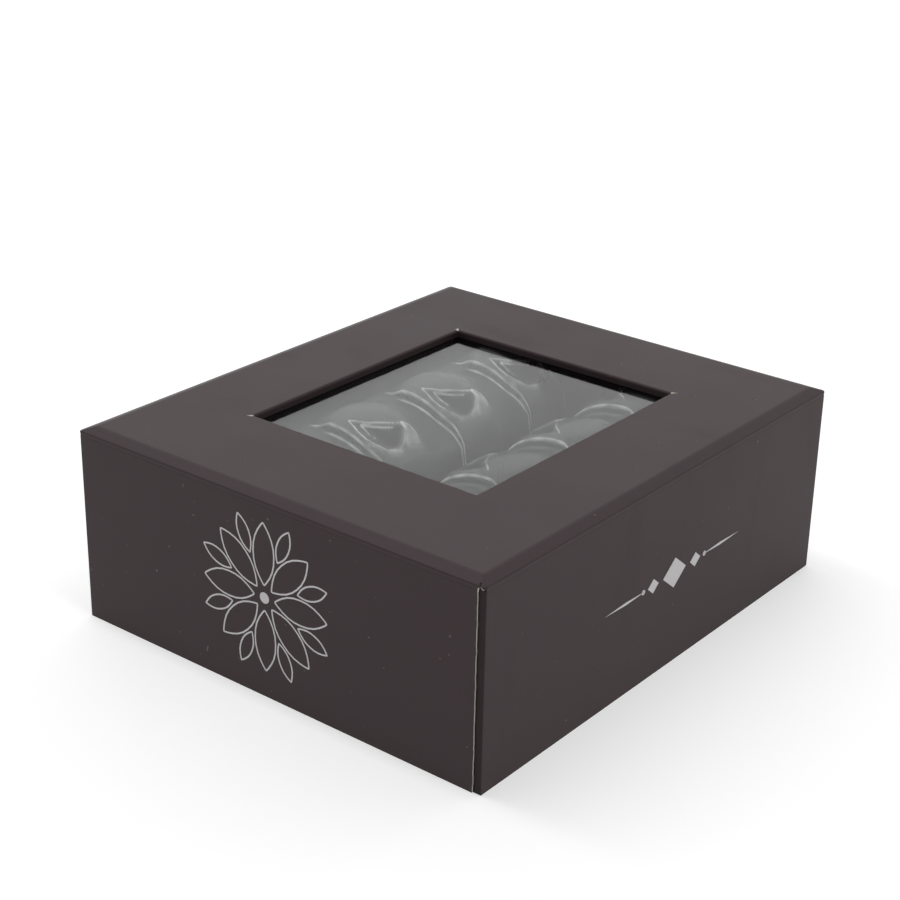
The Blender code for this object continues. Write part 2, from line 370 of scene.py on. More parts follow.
def tray_plastic(colours):
    """Clear moulded sheet that dims what lies behind it and is milky where its attributes say so; these
    attributes also carry painted light and shade.
    """
    finish = Finish("tray_plastic")
    milk = finish.node("ShaderNodeAttribute", {"attribute_name": "milk"}, {}, "Fac")
    ripple = finish.noise(260.0, 1.0, 0.5)
    normal = finish.bump(ripple, 0.00006, 0.25)
    tone = finish.node("ShaderNodeAttribute", {"attribute_name": "tone"}, {}, "Fac")
    base = finish.blend(tone * (0.85 + 0.3 * ripple), (0.0, 0.0, 0.0), colours.plastic)
    body = finish.shader(Base_Color=base, Roughness=1.0, Specular_IOR_Level=0.0, Normal=normal)
    clear = finish.node("ShaderNodeBsdfTransparent", {}, {"Color": (0.95, 0.965, 0.955)}, "BSDF")
    mirror = finish.node("ShaderNodeBsdfGlossy", {}, {"Roughness": 0.09, "Normal": normal}, "BSDF")
    hazy = finish.node("ShaderNodeMixShader", {}, {0: milk, 1: clear, 2: body}, "Shader")
    share_of = 0.26 * mirror_share(finish, {"Normal": normal}, 0.07)
    return finish.done(finish.node("ShaderNodeMixShader", {}, {0: share_of, 1: hazy, 2: mirror}, "Shader"))


def glowing_floor(studio):
    """Seamless pale floor that glows: painted light standing in for the studio light on it, dimmer near the
    box than far away.
    """
    finish = Finish("glowing_floor")
    mottle = finish.noise(9.0, 3.0)
    base = finish.blend(mottle, studio.floor, tuple(min(1.0, c * 1.02) for c in studio.floor))
    away = finish.node("ShaderNodeVectorMath", {"operation": "LENGTH"}, {0: finish.place}, "Value")
    far = finish.node("ShaderNodeMapRange", {}, {"Value": away, "From Min": 0.25, "From Max": 1.2}, "Result")
    lit = finish.blend(far, (studio.glow_near,) * 3, (studio.glow_far,) * 3)
    return finish.done(finish.shader(Base_Color=base, Roughness=0.7 + 0.1 * mottle,
                                     Emission_Color=lit, Emission_Strength=1.0))


def select_none():
    if bpy.context.object and bpy.context.object.mode != "OBJECT":
        bpy.ops.object.mode_set(mode="OBJECT")
    bpy.ops.object.select_all(action="DESELECT")


def settle(name, *materials):
    """Names the active object, puts its place in its mesh and gives it its materials."""
    piece = bpy.context.object
    piece.name = name
    piece.data.name = name
    bpy.ops.object.transform_apply(location=True, rotation=True, scale=True)
    for material in materials:
        piece.data.materials.append(material)
    return piece


def hand_over(piece, slot, *nodes):
    """Lets a piece move with the box and stand for its solids. The slot is not used."""
    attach(piece, BODY)
    if nodes:
        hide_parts(*nodes)
    select_none()


def paint_faces(piece, rule):
    """Gives each face the material number that a rule returns for its middle and normal."""
    for face in piece.data.polygons:
        face.material_index = rule(face.center, face.normal)


def walk_outline(sections, corner):
    """Starts a rounded rectangle in edit mode and walks it through sections of (low, high, z)."""
    low, high, z = sections[0]
    size = high - low
    middle = (low + high) / 2
    bpy.ops.mesh.primitive_plane_add(size=1.0, location=(middle.x, middle.y, z))
    bpy.ops.object.mode_set(mode="EDIT")
    bpy.ops.transform.resize(value=(size.x, size.y, 1.0), center_override=(middle.x, middle.y, z))
    bpy.ops.mesh.bevel(offset=corner, segments=5, affect="VERTICES", profile=0.5)
    bpy.ops.mesh.delete(type="ONLY_FACE")
    bpy.ops.mesh.select_all(action="SELECT")
    for next_low, next_high, next_z in sections[1:]:
        next_size = next_high - next_low
        next_middle = (next_low + next_high) / 2
        move = next_middle - middle
        bpy.ops.mesh.extrude_edges_move(
            TRANSFORM_OT_translate={"value": (move.x, move.y, next_z - z)})
        bpy.ops.transform.resize(value=(next_size.x / size.x, next_size.y / size.y, 1.0),
                                 center_override=(next_middle.x, next_middle.y, next_z))
        size, middle, z = next_size, next_middle, next_z


def fold_down(carton):
    """Depth below the top at which the folded edge meets a wall."""
    band = carton.fold_in - carton.fold_round * (1 - math.sin(carton.fold_slope))
    return carton.fold_round * math.cos(carton.fold_slope) + band * math.tan(carton.fold_slope)


def cover_sections(carton):
    """The cover's outline from its foot up, over the fold, in through the window and down inside."""
    low, high = COVER_LOW.xy, COVER_HIGH.xy
    top = COVER_HIGH.z
    window_low, window_high = Vector(carton.window_low), Vector(carton.window_high)
    fold_foot = top - fold_down(carton)

    def inset(amount, z):
        by = Vector((amount, amount))
        return low + by, high - by, z

    crease_steps, round_steps, bend_steps, rim_steps = 4, 5, 6, 6
    sections = [inset(0.0, 0.0)]
    for step in range(crease_steps + 1):
        turn = step / crease_steps * 2 * math.pi
        z = fold_foot - carton.crease_wide * (1 - step / crease_steps)
        sections.append(inset(carton.crease * (1 - math.cos(turn)) / 2, z))
    for step in range(1, round_steps + 1):
        turn = step / round_steps * (math.pi / 2 - carton.fold_slope)
        across = carton.fold_round * (1 - math.cos(turn))
        sections.append(inset(across, fold_foot + carton.fold_round * math.sin(turn)))
    for step in range(bend_steps + 1):
        s = step / bend_steps
        fall = math.tan(carton.fold_slope) * carton.fold_soft * (1 - s) ** 2
        sections.append(inset(carton.fold_in + carton.fold_soft * (2 * s - 1), top - fall))
    for step in range(rim_steps + 1):
        turn = step / rim_steps * math.pi / 2
        out = Vector((carton.rim, carton.rim)) * (1 - math.sin(turn))
        z = top - carton.rim * (1 - math.cos(turn))
        sections.append((window_low - out, window_high + out, z))
    film_top = FILM_HIGH.z + FILM_GAP
    sections.append((window_low, window_high, film_top))
    wall = Vector((carton.board, carton.board))
    sections.append((low + wall, high - wall, film_top))
    sections.append((low + wall, high - wall, 0.0))
    sections.append(inset(0.0, 0.0))
    return sections


def strip_cutter(side_x, side_y, carton):
    """A tall block that takes the panel's paper away beside a corner, with a slightly uneven edge."""
    select_none()
    wide = carton.strip if side_y == side_x else carton.strip_far
    reach = 2 * MM
    uneven, wave = 0.13 * MM, 2.2 * MM
    slices = 40
    top = COVER_HIGH.z - fold_down(carton) - SLACK
    inner_x = abs(COVER_HIGH.x) - carton.strip_deep
    inner_y = abs(COVER_HIGH.y) - wide
    bpy.ops.mesh.primitive_cube_add(size=1.0, location=(0, 0, 0))
    cutter = bpy.context.object
    cutter.scale = (carton.strip_deep + reach, wide + reach, top + reach)
    cutter.location = (side_x * (inner_x + cutter.scale.x / 2), side_y * (inner_y + cutter.scale.y / 2),
                       top - cutter.scale.z / 2)
    bpy.ops.object.transform_apply(location=True, rotation=False, scale=True)
    bpy.ops.object.mode_set(mode="EDIT")
    for step in range(1, slices):
        bpy.ops.mesh.select_all(action="SELECT")
        bpy.ops.mesh.bisect(plane_co=(0, 0, top * step / slices), plane_no=(0, 0, 1))
    bpy.ops.object.mode_set(mode="OBJECT")
    for vert in cutter.data.vertices:
        if abs(vert.co.y) < inner_y + SLACK:
            vert.co.y += uneven * noise.noise(Vector((side_x, side_y, vert.co.z / wave)))
    return cutter


def slit_cutter(at_x, at_y, out_x, out_y):
    """A thin wedge at a window corner, where the turned-in paper was slit."""
    select_none()
    bpy.ops.mesh.primitive_cone_add(vertices=3, radius1=1.0, radius2=1.0, depth=1.0)
    wedge = bpy.context.object
    wedge.scale = SLIT
    wedge.rotation_euler.z = math.atan2(out_y, out_x)
    wedge.location = (at_x, at_y, COVER_HIGH.z)
    bpy.ops.object.transform_apply(location=True, rotation=True, scale=True)
    return wedge


def mitre_cutter(carton):
    """A thin leaning block in the fold beside the front corner, where the paper gapes."""
    select_none()
    fold_foot = COVER_HIGH.z - fold_down(carton)
    bpy.ops.mesh.primitive_cube_add(size=1.0, location=(*COVER_LOW.xy, fold_foot))
    block = bpy.context.object
    block.scale = MITRE
    block.rotation_euler = (MITRE_LEAN, 0.0, 0.0)
    block.location.x += MITRE_IN[0]
    block.location.y += MITRE_IN[1]
    bpy.ops.object.transform_apply(location=True, rotation=True, scale=True)
    return block


def weigh_normals(piece, sharp):
    """Smooth shading in which the large flat faces keep their own direction."""
    select_none()
    bpy.context.view_layer.objects.active = piece
    piece.select_set(True)
    bpy.ops.object.shade_smooth_by_angle(angle=math.radians(sharp))
    weigh = piece.modifiers.new("weigh", "WEIGHTED_NORMAL")
    weigh.keep_sharp = True
    weigh.weight = 100
    bpy.ops.object.modifier_apply(modifier=weigh.name)


def cut(piece, cutter):
    """Cuts one shape out of a piece, whose new faces take the cutter's material."""
    modifier = piece.modifiers.new("cut", "BOOLEAN")
    modifier.operation = "DIFFERENCE"
    modifier.solver = "EXACT"
    modifier.material_mode = "TRANSFER"
    modifier.object = cutter
    select_none()
    bpy.context.view_layer.objects.active = piece
    piece.select_set(True)
    bpy.ops.object.modifier_apply(modifier=modifier.name)
    bpy.data.objects.remove(cutter, do_unlink=True)


class BOX_OT_cover(bpy.types.Operator):
    """Builds the printed cover with its folds, window, tabs and slits"""

    bl_idname = "macaron_box.cover"
    bl_label = "Cover"

    def execute(self, context):
        carton = context.scene.box_carton
        colours = context.scene.box_finishes
        paper, raw, inside = printed_paper(colours), raw_board(colours), inner_board(colours)
        # The tabs beside the corners take a copy of the paper at 0.6 of its colour and sheen: painted shade
        # of their recess.
        tab = printed_paper(colours, "tab_paper_painted_shade", 0.6)
        select_none()
        walk_outline(cover_sections(carton), carton.corner)
        bpy.ops.mesh.select_all(action="SELECT")
        bpy.ops.mesh.remove_doubles(threshold=0.01 * MM)
        bpy.ops.mesh.normals_make_consistent(inside=False)
        bpy.ops.object.mode_set(mode="OBJECT")
        cover = settle("printed_cover", paper, raw, inside, tab)
        inner = COVER_HIGH.xy - Vector((1, 1)) * (carton.board + SLACK)

        def finish_of(middle, normal):
            under_top = middle.z < FILM_HIGH.z + SLACK
            if normal.z < -0.9 and middle.z < MM:
                return 1
            if under_top and abs(middle.x) < inner.x and abs(middle.y) < inner.y:
                return 2
            return 0

        paint_faces(cover, finish_of)
        for side_x in (-1, 1):
            for side_y in (-1, 1):
                cutter = strip_cutter(side_x, side_y, carton)
                cutter.data.materials.append(tab)
                cut(cover, cutter)
        low, high = carton.window_low, carton.window_high
        for x, y, out_x, out_y in ((low[0], high[1], -1, 1), (high[0], high[1], 1, 1),
                                   (high[0], low[1], 1, -1)):
            cutter = slit_cutter(x + out_x * SLIT_OUT, y + out_y * SLIT_OUT, out_x, out_y)
            cutter.data.materials.append(raw)
            cut(cover, cutter)
        cutter = mitre_cutter(carton)
        cutter.data.materials.append(inside)
        cut(cover, cutter)
        tab_start = COVER_HIGH.y - carton.strip - 0.4 * MM
        tab_floor = COVER_HIGH.x - carton.strip_deep
        for face in cover.data.polygons:
            at = face.center
            beside_tab = abs(at.x) > tab_floor and tab_start < abs(at.y) < COVER_HIGH.y - SLACK
            if beside_tab and at.z < PALE_EDGE_TOP and abs(face.normal.y) > 0.7:
                face.material_index = 1
        weigh_normals(cover, 24)
        hand_over(cover, "laminated_board", "cover")
        return {"FINISHED"}


def raw_bead(name, points, thick, uneven, finish):
    """A thread of torn paper along a line of points, slightly uneven in width and course."""
    bpy.ops.curve.primitive_nurbs_path_add()
    bead = bpy.context.object
    bead.data.splines.clear()
    course_wave, width_wave = 1.7 * MM, 0.8 * MM
    spline = bead.data.splines.new("POLY")
    spline.points.add(len(points) - 1)
    for point, (x, y, z) in zip(spline.points, points):
        wave = noise.noise(Vector((x, y, z)) / course_wave)
        point.co = (x, y + uneven * wave, z, 1.0)
        point.radius = 1.0 + 0.3 * noise.noise(Vector((y, z, x)) / width_wave)
    bead.data.bevel_depth = thick / 2
    bead.data.bevel_resolution = 2
    bead.data.use_fill_caps = True
    bpy.ops.object.convert(target="MESH")
    return settle(name, finish)


class BOX_OT_edges(bpy.types.Operator):
    """Lays the frayed paper edges beside the tabs and the curl at the front corner"""

    bl_idname = "macaron_box.edges"
    bl_label = "Frayed Edges"

    def execute(self, context):
        carton = context.scene.box_carton
        raw = raw_board(context.scene.box_finishes)
        top = COVER_HIGH.z - fold_down(carton)
        thread, curl_thick, uneven = carton.frayed, 1.8 * carton.frayed, 0.10 * MM
        face = COVER_LOW.x + 0.7 * thread
        heights = np.linspace(0.3 * MM, top - 0.6 * MM, 90)
        curl = [(face + (dx + CURL_IN) * MM, COVER_LOW.y + dy * MM, top + dz * MM) for dx, dy, dz in CURL]
        beads = []
        for side, name in ((-1, "front_edge"), (1, "back_edge")):
            line = [(-side * face, side * (COVER_HIGH.y - carton.strip), z) for z in heights]
            beads.append((name, line, thread, uneven))
        beads.append(("curled_paper", curl, curl_thick, 0.0))
        for bead in beads:
            select_none()
            hand_over(raw_bead(*bead, raw), "laminated_board", "cover")
        return {"FINISHED"}


class BOX_OT_base(bpy.types.Operator):
    """Builds the base board with its soft lower edge"""

    bl_idname = "macaron_box.base"
    bl_label = "Base Board"

    def execute(self, context):
        colours = context.scene.box_finishes
        select_none()
        soft_edge = 0.35 * MM
        size = BASE_HIGH - BASE_LOW
        bpy.ops.mesh.primitive_cube_add(size=1.0, location=(BASE_LOW + BASE_HIGH) / 2, scale=size)
        bpy.ops.object.transform_apply(location=True, rotation=False, scale=True)
        bpy.ops.object.mode_set(mode="EDIT")
        bpy.ops.mesh.select_all(action="SELECT")
        bpy.ops.mesh.bevel(offset=soft_edge, segments=3, profile=0.5)
        bpy.ops.object.mode_set(mode="OBJECT")
        base = settle("base_panel", printed_paper(colours), inner_board(colours))
        paint_faces(base, lambda middle, normal: 1 if normal.z > 0.5 else 0)
        bpy.ops.object.shade_smooth_by_angle(angle=math.radians(30))
        hand_over(base, "base_paper", "base_board")
        return {"FINISHED"}


class BOX_OT_film(bpy.types.Operator):
    """Builds the clear film under the window, with its slight waves"""

    bl_idname = "macaron_box.film"
    bl_label = "Window Film"

    def execute(self, context):
        select_none()
        wave_long, wave_deep, thick = 32 * MM, 0.06 * MM, 0.12 * MM
        size = FILM_HIGH - FILM_LOW
        middle = (FILM_LOW + FILM_HIGH) / 2
        bpy.ops.mesh.primitive_grid_add(x_subdivisions=48, y_subdivisions=44, size=1.0,
                                        location=(middle.x, middle.y, FILM_HIGH.z))
        bpy.context.object.scale = (size.x, size.y, 1.0)
        film = settle("window_sheet", clear_film())
        for vert in film.data.vertices:
            wave = noise.noise(Vector((vert.co.x, vert.co.y, 0.0)) / wave_long + SEED)
            vert.co.z -= wave_deep * (1 + wave)
        wall = film.modifiers.new("sheet", "SOLIDIFY")
        wall.thickness = thick
        wall.offset = -1.0
        bpy.ops.object.modifier_apply(modifier=wall.name)
        bpy.ops.object.shade_smooth_by_angle(angle=math.radians(40))
        hand_over(film, "clear_film", "window_film")
        return {"FINISHED"}


def smooth(value, low, high):
    """A soft step from 0 to 1."""
    s = np.clip((value - low) / (high - low), 0.0, 1.0)
    return s * s * (3 - 2 * s)


def arch_drop(t, radius):
    """How far a round arch has fallen at the distance t from its top line."""
    reach = np.minimum(np.maximum(t, 0.0), 0.98 * radius)
    return radius - np.sqrt(radius * radius - reach * reach)


def ramp_down(s, wide, soft):
    """A straight ramp from 0 to 1 over a width, with both its ends rounded."""
    def bend(v):
        return np.where(v > soft, v, np.where(v < -soft, 0.0, (v + soft) ** 2 / (4 * soft)))

    return (bend(s) - bend(s - wide)) / wide


def outline_distance(u, t, corners):
    """Signed distance to a closed outline, given by its corners in turn, negative inside."""
    nearest = np.full(u.shape, 1.0)
    within = np.zeros(u.shape, dtype=bool)
    for (au, at), (bu, bt) in zip(corners, corners[1:] + corners[:1]):
        du, dt = bu - au, bt - at
        along = np.clip(((u - au) * du + (t - at) * dt) / (du * du + dt * dt), 0.0, 1.0)
        nearest = np.minimum(nearest, np.hypot(u - au - along * du, t - at - along * dt))
        crosses = (at > t) != (bt > t)
        rise = dt if dt else 1.0
        within ^= crosses & (u < au + (t - at) / rise * du)
    return np.where(within, -nearest, nearest)


def ripple(u, t, scale):
    """Uneven waves between -1 and 1 of the sheet where it was drawn into the mould."""
    first = np.sin(u / scale + 1.3 * np.sin(t / scale * 0.8))
    second = np.sin(t / scale * 1.3 + 0.9 * np.sin(u / scale))
    return first * second


def tray_relief(x, y, sizes):
    """Depth of the tray's upper face below the top of the box, and how milky it is there, with painted light
    and shade in that milkiness.
    """
    # Place in the pattern: u across a lobe, t from the lobe's top line towards the channel.
    local_x = x - sizes.shift[0]
    local_y = y - sizes.shift[1]
    lobe = np.clip(np.floor(local_x / sizes.pitch + 2), 0, 3)
    u = local_x - (lobe - 1.5) * sizes.pitch
    near_row = local_y < 0
    t = sizes.row_offset - np.abs(local_y) - sizes.near_shift * near_row
    wave = ripple(u + 4 * MM * lobe, t, 1.5 * MM)

    # A lobe's half width and its arch, into which the pocket sinks above a raised lip.
    half = sizes.lobe_half - TAPER * smooth(t, 10.5 * MM, 17 * MM)
    half = half + FLARE * np.maximum(0.0, MM - t) ** 2 / MM * (u < 0)
    top = sizes.lobe_top + CROWN * (u / sizes.lobe_half) ** 2 + arch_drop(t, sizes.lobe_radius)
    inside = outline_distance(u, t, [(cu * MM, ct * MM) for cu, ct in POCKET])
    middle = outline_distance(u, t, [(cu * MM, ct * MM) for cu, ct in POCKET_FLOOR])
    from_rim = np.clip(-inside, 0.0, 1.0)
    fallen = from_rim / np.maximum(from_rim + np.maximum(middle, 0.0), 1e-6)
    floor = FLOOR_START + FLOOR_ALONG * t - FLOOR_ACROSS * u
    sunk = top + POCKET_SHARE * (np.maximum(top, floor) - top) * ramp_down(fallen, 1.0, 0.2)
    low_side = smooth(t, 9.5 * MM, 12.5 * MM)
    lip = np.clip(1 - np.abs(inside - LIP_OUT) / LIP_WIDE, 0.0, 1.0) * low_side
    top = sunk - (LIP_HIGH + LIP_UNEVEN * wave) * MM * lip

    # The grooves between the lobes, the flat border outside a row, and the channel.
    groove = sizes.groove_top + arch_drop(t, sizes.groove_radius)
    groove = groove + (sizes.plateau - sizes.groove_top) * smooth(-t, 0.0, 9 * MM)
    beyond = np.maximum(0.0, -t) / LOBE_REACH
    outer = ((u / (half + 1.2 * MM)) ** 4 + beyond ** 4) ** 0.25
    top = top + (sizes.plateau - top) * smooth(outer, 0.45, 1.0) * smooth(-t, 1 * MM, 5 * MM)
    wall = np.abs(u) - half
    side = ramp_down(wall + 0.1 * MM, WALL_WIDE, WALL_SOFT)
    depth = np.minimum(top, groove) * (1 - side) + groove * side
    flank = smooth(t, FLANK_START, FLANK_END)
    depth = depth + (sizes.channel - depth) * flank

    # Painted highlights: white lines along the creases and the facet, where the glossy sheet would catch the
    # light.
    def line(distance):
        return np.exp(-(distance / HIGHLIGHT_HALF) ** 2)

    along = smooth(t, -7.5 * MM, -5 * MM) * (1 - flank)
    foot = 0.9 * line(wall - 0.85 * MM) * smooth(t, -6 * MM, 4 * MM) * (1 - 0.8 * near_row)
    crest = line(wall + 0.05 * MM) + foot
    folds = crest * along * (1 - 0.7 * (u > 0))
    folds = folds + line(inside) * (1 - 0.8 * low_side) * (1 - 0.5 * near_row)
    upper = (1 - smooth(t, 10.2 * MM, 11.5 * MM)) * (u < 2.8 * MM) * (1 - near_row)
    folds = folds + 0.9 * line(middle) * upper
    facet = outline_distance(u, t, [(cu * MM, ct * MM) for cu, ct in HIGHLIGHT_FACET])
    facet_highlight = smooth(-facet, -0.2 * MM, 0.5 * MM) * (1 - smooth(t, 14 * MM, 18 * MM)) * (0.75 + 0.4 * wave)
    folds = folds + 0.7 * line(facet) * (u > 5.5 * MM) * (1 - smooth(t, 12 * MM, 16 * MM))

    # Milkiness with painted light and shade: lobes, pockets, lips and facets, and the painted highlight lines
    # along the creases over all.
    on_lobe = (1 - side) * smooth(outer + 0.05 * wave, 1.0, 0.93)
    in_pocket = smooth(-inside, 0.4 * MM, 1.6 * MM)
    # Painted light on the lobes, painted shade in the grooves between them.
    milk = sizes.haze + (sizes.lobe_haze_and_light - sizes.haze) * on_lobe * (1 - in_pocket)
    # Pockets less milky than the border: painted shade in the pockets.
    milk = milk - 0.6 * sizes.haze * in_pocket
    # Painted highlight on the lips and the facets, weaker on the near row.
    milk = milk + sizes.facet_highlight_strength * (lip * (0.7 + 0.5 * wave) + facet_highlight) * (1 - 0.8 * near_row)
    # Painted shade on the near row, which keeps 0.45 of its milkiness.
    milk = milk * (1 - 0.55 * near_row)
    # Painted shade in the channel, which keeps 0.3 of its milkiness; the painted highlight lines go on top.
    milk = milk * (1 - 0.7 * flank) + sizes.crease_painted_highlight * folds * (0.75 + 0.35 * wave)
    return depth, np.clip(milk, 0.0, 1.0)


def spread_lines(*stretches):
    """Grid lines through stretches, each given as its end and its step after the first start."""
    lines = [np.array([stretches[0]])]
    start = stretches[0]
    for end, step in stretches[1:]:
        lines.append(np.linspace(start, end, max(2, math.ceil((end - start) / step) + 1))[1:])
        start = end
    return np.concatenate(lines)


class BOX_OT_tray(bpy.types.Operator):
    """Moulds the clear tray with its two rows of lobes"""

    bl_idname = "macaron_box.tray"
    bl_label = "Tray"

    def execute(self, context):
        sizes = context.scene.box_tray
        select_none()
        low = TRAY_LOW.xy + Vector((MM, MM))
        high = TRAY_HIGH.xy - Vector((MM, MM))
        across = [low.x]
        for lobe in range(4):
            middle = sizes.shift[0] + (lobe - 1.5) * sizes.pitch
            for reach, step in LOBE_STRETCHES:
                hidden = (reach < 0 and lobe == 0) or (reach > 8.2 and lobe == 3)
                across.append((middle + reach * MM, HIDDEN_STEP if hidden else step * MM))
        xs = spread_lines(*across, (high.x, HIDDEN_STEP))
        rows = [low.y]
        for side, stretches in ((-1, NEAR_STRETCHES), (1, FAR_STRETCHES)):
            offset = sizes.row_offset - sizes.near_shift * (side < 0)
            for reach, step in stretches:
                rows.append((sizes.shift[1] + side * (offset - reach * MM), step * MM))
        ys = spread_lines(*rows, (high.y, HIDDEN_STEP))
        bpy.ops.mesh.primitive_grid_add(x_subdivisions=len(xs) - 1, y_subdivisions=len(ys) - 1, size=1.0)
        tray = settle("clear_tray_sheet", tray_plastic(context.scene.box_finishes))
        count = len(tray.data.vertices)
        where = np.empty(count * 3)
        tray.data.vertices.foreach_get("co", where)
        where = where.reshape(-1, 3)
        column = np.rint((where[:, 0] + 0.5) * (len(xs) - 1)).astype(int)
        line = np.rint((where[:, 1] + 0.5) * (len(ys) - 1)).astype(int)
        where[:, 0] = xs[column]
        where[:, 1] = ys[line]
        depth, milk = tray_relief(where[:, 0], where[:, 1], sizes)
        where[:, 2] = COVER_HIGH.z - depth
        tray.data.vertices.foreach_set("co", where.ravel())
        # Both attributes carry the milkiness together with its painted light and shade.
        share_of = sizes.body + (1 - sizes.body) * milk
        for layer, values in (("milk", share_of), ("tone", milk / share_of)):
            tray.data.attributes.new(layer, "FLOAT", "POINT").data.foreach_set("value", values)
        tray.data.update()

        bpy.ops.object.mode_set(mode="EDIT")
        bpy.ops.mesh.select_all(action="SELECT")
        bpy.ops.mesh.region_to_loop()
        bpy.ops.mesh.extrude_edges_move(TRANSFORM_OT_translate={"value": (0, 0, -5 * MM)})
        bpy.ops.object.mode_set(mode="OBJECT")
        for vert in tray.data.vertices:
            if vert.select:
                vert.co.z = TRAY_LOW.z
                for axis in (0, 1):
                    if abs(vert.co[axis]) > high[axis] - SLACK:
                        vert.co[axis] += math.copysign(MM - sizes.wall, vert.co[axis])
        wall = tray.modifiers.new("sheet", "SOLIDIFY")
        wall.thickness = sizes.wall
        wall.offset = -1.0
        bpy.ops.object.modifier_apply(modifier=wall.name)
        bpy.ops.object.shade_smooth_by_angle(angle=math.radians(60))
        hand_over(tray, "clear_tray", "tray")
        return {"FINISHED"}


def petal_outline(long, wide, line, thick):
    """A pointed oval outline in the active object's edit mode, standing on the origin along +X."""
    bpy.ops.mesh.primitive_circle_add(vertices=24, radius=0.5, fill_type="NGON")
    bpy.ops.object.mode_set(mode="OBJECT")
    for vert in bpy.context.object.data.vertices:
        pinch = 1 - (2 * abs(vert.co.x)) ** 3 * 0.6
        vert.co = ((vert.co.x + 0.5) * long, vert.co.y * wide * pinch, 0.0)
    bpy.ops.object.mode_set(mode="EDIT")
    bpy.ops.mesh.select_all(action="SELECT")
    bpy.ops.mesh.inset(thickness=line, depth=0.0)
    bpy.ops.mesh.delete(type="FACE")
    bpy.ops.mesh.select_all(action="SELECT")
    bpy.ops.mesh.extrude_region_move(TRANSFORM_OT_translate={"value": (0, 0, thick)})
    bpy.ops.object.mode_set(mode="OBJECT")


def spread_copies(source, turns, radius):
    """Puts turned copies of the source round the origin in its place, each moved out by the radius."""
    mesh = source.data
    copies = []
    for turn in turns:
        copy = bpy.data.objects.new("copy", mesh.copy())
        bpy.context.scene.collection.objects.link(copy)
        copy.data.transform(Matrix.Rotation(turn, 4, "Z") @ Matrix.Translation((radius, 0, 0)))
        copies.append(copy)
    bpy.data.objects.remove(source, do_unlink=True)
    return copies


def dot(x, y, radius, thick, points=20):
    """A small disc of print."""
    select_none()
    bpy.ops.mesh.primitive_cylinder_add(vertices=points, radius=radius, depth=thick,
                                        location=(x, y, thick / 2))
    bpy.ops.object.transform_apply(location=True, rotation=True, scale=True)
    return bpy.context.object


def diamond(x, y, half_long, half_high, thick):
    """A pointed lozenge of print."""
    made = dot(x, y, 1.0, thick, 4)
    for vert in made.data.vertices:
        vert.co.x = x + (vert.co.x - x) * half_long
        vert.co.y = y + (vert.co.y - y) * half_high
    return made


def join(parts):
    """Joins objects into the first of them."""
    select_none()
    for part in parts:
        part.select_set(True)
    bpy.context.view_layer.objects.active = parts[0]
    bpy.ops.object.join()
    return bpy.context.object


class BOX_OT_ornaments(bpy.types.Operator):
    """Prints the petal rosette and the lozenge band on the two side panels"""

    bl_idname = "macaron_box.ornaments"
    bl_label = "Printed Ornaments"

    def execute(self, context):
        ink = ornament_ink(context.scene.box_finishes)
        thick = PRINT_THICK
        parts = []
        for count, radius, long, wide, offset in ((8, 3.2, 17.0, 7.2, 0.0), (8, 11.5, 10.4, 4.2, 0.5)):
            select_none()
            petal_outline(long * MM, wide * MM, 0.42 * MM, thick)
            turns = [(i + offset) * 2 * math.pi / count for i in range(count)]
            parts += spread_copies(bpy.context.object, turns, radius * MM)
        parts.append(dot(0, 0, 1.5 * MM, thick))
        rosette = join(parts)
        turn = Matrix(((0, 0, -1), (-1, 0, 0), (0, 1, 0))).to_4x4()
        rosette.data.transform(Matrix.Translation((COVER_LOW.x, 1.0 * MM, 27.4 * MM)) @ turn)
        rosette = settle("petal_rosette", ink)
        hand_over(rosette, "laminated_board")

        parts = [diamond(0, 0, 5.2 * MM, 4.2 * MM, thick)]
        for side in (-1, 1):
            parts.append(diamond(side * 9.6 * MM, 0, 2.4 * MM, 2.0 * MM, thick))
            parts.append(diamond(side * 21.6 * MM, 0, 9.0 * MM, 0.38 * MM, thick))
            parts.append(dot(side * 14.0 * MM, 0, 0.7 * MM, thick))
        band = join(parts)
        turn = Matrix(((1, 0, 0), (0, 0, -1), (0, 1, 0))).to_4x4()
        band.data.transform(Matrix.Translation((2.8 * MM, COVER_LOW.y, 26.0 * MM)) @ turn)
        band = settle("lozenge_band", ink)
        hand_over(band, "laminated_board")
        return {"FINISHED"}


def soft_range(tree, value, low, high, start, end):
    """Maps a value between low and high softly to the range from start to end."""
    made = tree.nodes.new("ShaderNodeMapRange")
    made.interpolation_type = "SMOOTHSTEP"
    for key, number in {"From Min": low, "From Max": high, "To Min": start, "To Max": end}.items():
        made.inputs[key].default_value = number
    tree.links.new(value, made.inputs["Value"])
    return made.outputs["Result"]


def soft_light(name, spot, target, wide, high, power):
    """A rectangular softbox that faces its target."""
    lamp = bpy.data.lights.new(name, "AREA")
    lamp.shape = "RECTANGLE"
    lamp.size, lamp.size_y = wide, high
    lamp.energy = power
    holder = bpy.data.objects.new(name, lamp)
    bpy.context.scene.collection.objects.link(holder)
    holder.location = spot
    holder.rotation_euler = (Vector(target) - Vector(spot)).to_track_quat("-Z", "Y").to_euler()


